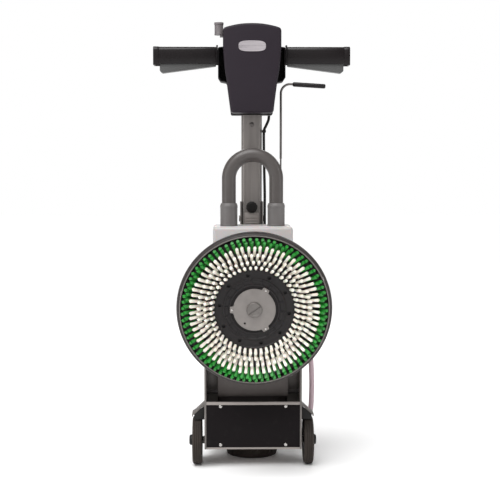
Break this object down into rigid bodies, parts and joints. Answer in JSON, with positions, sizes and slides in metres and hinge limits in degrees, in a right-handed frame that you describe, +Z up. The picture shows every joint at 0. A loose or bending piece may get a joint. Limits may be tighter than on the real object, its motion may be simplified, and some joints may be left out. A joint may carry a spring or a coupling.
{
  "type": "rotary floor machine",
  "caption": "Upright rotary floor machine with a fold-up brush deck, water tank, suction hose loop, transport wheels and a tilting handle with triggers.",
  "frame": {"origin": "on the floor, at the middle of the outline", "axes": "+Z up; -Y is the front, where the parked brush faces; +X is to the right seen from the front, along the wheel axle"},
  "size_m": [0.508, 0.4559, 1.118],
  "materials": {
    "side_plate_left": "satin",
    "side_plate_right": "satin",
    "front_panel": "satin",
    "cross_strip": "satin",
    "floor_pan": "satin",
    "back_panel": "satin",
    "wheel_bracket_left": "satin",
    "wheel_bracket_right": "satin",
    "axle": "dark",
    "rear_foot": "matte",
    "tank": "moulded",
    "filler_plug": "moulded",
    "spine": "satin",
    "handle_socket": "satin",
    "handle_pivot_pin": "dark",
    "deck_pivot_pin": "dark",
    "feed_hose": "clear",
    "tank_outlet": "moulded",
    "chassis_inlet": "moulded",
    "valve_body": "moulded",
    "cable_lower": "matte",
    "cable_upper": "matte",
    "vacuum_unit": "painted dark",
    "suction_hose": "matte",
    "hose_cuff_left": "matte",
    "hose_cuff_right": "matte",
    "tyre_left": "matte",
    "tyre_right": "matte",
    "hub_left": "moulded",
    "hub_right": "moulded",
    "post": "satin",
    "console_front": "textured",
    "console_rear": "textured",
    "grip_left": "textured",
    "grip_right": "textured",
    "mains_inlet": "moulded",
    "cable_clip": "moulded",
    "post_bolt": "dark",
    "cord_hook": "satin",
    "trigger_left": "moulded",
    "trigger_right": "moulded",
    "clamp_knob": "moulded",
    "lock_button": "moulded",
    "vacuum_switch": "moulded",
    "lift_rod": "dark",
    "rod_grip": "matte",
    "deck_pan": "painted grey",
    "bumper": "matte",
    "deck_yoke": "painted dark",
    "gear_housing": "painted dark",
    "motor_case": "painted dark",
    "fan_cover": "moulded",
    "stator": "laminated",
    "rotor": "machined",
    "internal_gear": "machined",
    "brush_block": "moulded",
    "bristles_white": "bristle",
    "bristles_green": "bristle",
    "drive_plate": "machined",
    "plate_screw": "machined"
  },
  "bodies": {
    "chassis": {"side_plate_left": "side_plate_left", "side_plate_right": "side_plate_right", "front_panel": "front_panel", "cross_strip": "cross_strip", "floor_pan": "floor_pan", "back_panel": "back_panel", "wheel_bracket_left": "wheel_bracket_left", "wheel_bracket_right": "wheel_bracket_right", "axle": "axle", "rear_foot": "rear_foot", "tank": "tank", "spine": "spine", "handle_socket": "handle_socket", "handle_pivot_pin": "handle_pivot_pin", "deck_pivot_pin": "deck_pivot_pin", "feed_hose": "feed_hose", "tank_outlet": "tank_outlet", "chassis_inlet": "chassis_inlet", "valve_body": "valve_body", "cable_lower": "cable_lower", "vacuum_unit": "vacuum_unit"},
    "suction_loop": {"suction_hose": "suction_hose", "hose_cuff_left": "hose_cuff_left", "hose_cuff_right": "hose_cuff_right"},
    "filler_plug": {"filler_plug": "filler_plug"},
    "wheel_left": {"tyre_left": "tyre_left", "hub_left": "hub_left"},
    "wheel_right": {"tyre_right": "tyre_right", "hub_right": "hub_right"},
    "handle": {"post": "post", "console_front": "console_front", "console_rear": "console_rear", "grip_left": "grip_left", "grip_right": "grip_right", "mains_inlet": "mains_inlet", "cable_upper": "cable_upper", "cable_clip": "cable_clip", "post_bolt": "post_bolt", "cord_hook": "cord_hook"},
    "clamp_knob": {"clamp_knob": "clamp_knob"},
    "trigger_left": {"trigger_left": "trigger_left"},
    "trigger_right": {"trigger_right": "trigger_right"},
    "lock_button": {"lock_button": "lock_button"},
    "vacuum_switch": {"vacuum_switch": "vacuum_switch"},
    "lift_rod": {"lift_rod": "lift_rod", "rod_grip": "rod_grip"},
    "deck": {"deck_pan": "deck_pan", "bumper": "bumper", "deck_yoke": "deck_yoke", "gear_housing": "gear_housing", "motor_case": "motor_case", "fan_cover": "fan_cover", "stator": "stator"},
    "brush": {"brush_block": "brush_block", "bristles_white": "bristles_white", "bristles_green": "bristles_green", "drive_plate": "drive_plate", "plate_screw": "plate_screw", "internal_gear": "internal_gear"},
    "rotor": {"rotor": "rotor"}
  },
  "joints": [
    {"name": "deck_tilt", "type": "hinge", "parent": "chassis", "child": "deck", "pos_m": [0, -0.01, 0.182], "axis": [1, 0, 0], "range_deg": [0, 85]},
    {"name": "brush_spin", "type": "hinge", "parent": "deck", "child": "brush", "pos_m": [0, -0.21281, 0.4119], "axis": [0, 0.9962, 0.0872], "continuous": true},
    {"name": "motor_spin", "type": "hinge", "parent": "deck", "child": "rotor", "pos_m": [0, -0.21019, 0.38201], "axis": [0, 0.9962, 0.0872], "continuous": true},
    {"name": "wheel_left_spin", "type": "hinge", "parent": "chassis", "child": "wheel_left", "pos_m": [-0.1395, -0.012, 0.06], "axis": [1, 0, 0], "continuous": true},
    {"name": "wheel_right_spin", "type": "hinge", "parent": "chassis", "child": "wheel_right", "pos_m": [0.1395, -0.012, 0.06], "axis": [1, 0, 0], "continuous": true},
    {"name": "handle_tilt", "type": "hinge", "parent": "chassis", "child": "handle", "pos_m": [0, 0.138, 0.61202], "axis": [-1, 0, 0], "range_deg": [0, 60]},
    {"name": "clamp_knob_turn", "type": "hinge", "parent": "handle", "child": "clamp_knob", "pos_m": [0, 0.119, 0.64242], "axis": [0, -1, 0], "range_deg": [0, 270]},
    {"name": "trigger_left_squeeze", "type": "hinge", "parent": "handle", "child": "trigger_left", "pos_m": [-0.0985, 0.132, 1.02002], "axis": [0, 1, 0], "range_deg": [0, 8], "stiffness_Nm_per_rad": 1.5, "springref_deg": -5.73},
    {"name": "trigger_right_squeeze", "type": "hinge", "parent": "handle", "child": "trigger_right", "pos_m": [0.0985, 0.132, 1.02002], "axis": [0, -1, 0], "range_deg": [0, 8], "stiffness_Nm_per_rad": 1.5, "springref_deg": -5.73},
    {"name": "lock_button_press", "type": "slide", "parent": "handle", "child": "lock_button", "axis": [0, -1, 0], "range_m": [0, 0.004], "stiffness_N_per_m": 300, "springref_m": -0.003},
    {"name": "vacuum_switch_rock", "type": "hinge", "parent": "handle", "child": "vacuum_switch", "pos_m": [0.034, 0.164, 1.01902], "axis": [1, 0, 0], "range_deg": [0, 9]},
    {"name": "lift_rod_pull", "type": "slide", "parent": "chassis", "child": "lift_rod", "axis": [0, 0, 1], "range_m": [0, 0.01]},
    {"name": "suction_loop_lift", "type": "slide", "parent": "chassis", "child": "suction_loop", "axis": [0, 0, 1], "range_m": [0, 0.06]},
    {"name": "filler_plug_pull", "type": "slide", "parent": "chassis", "child": "filler_plug", "axis": [0, 0, 1], "range_m": [0, 0.02]}
  ],
  "couplings": [
    {"joint": "motor_spin", "follows": "brush_spin", "ratio": 5}
  ]
}
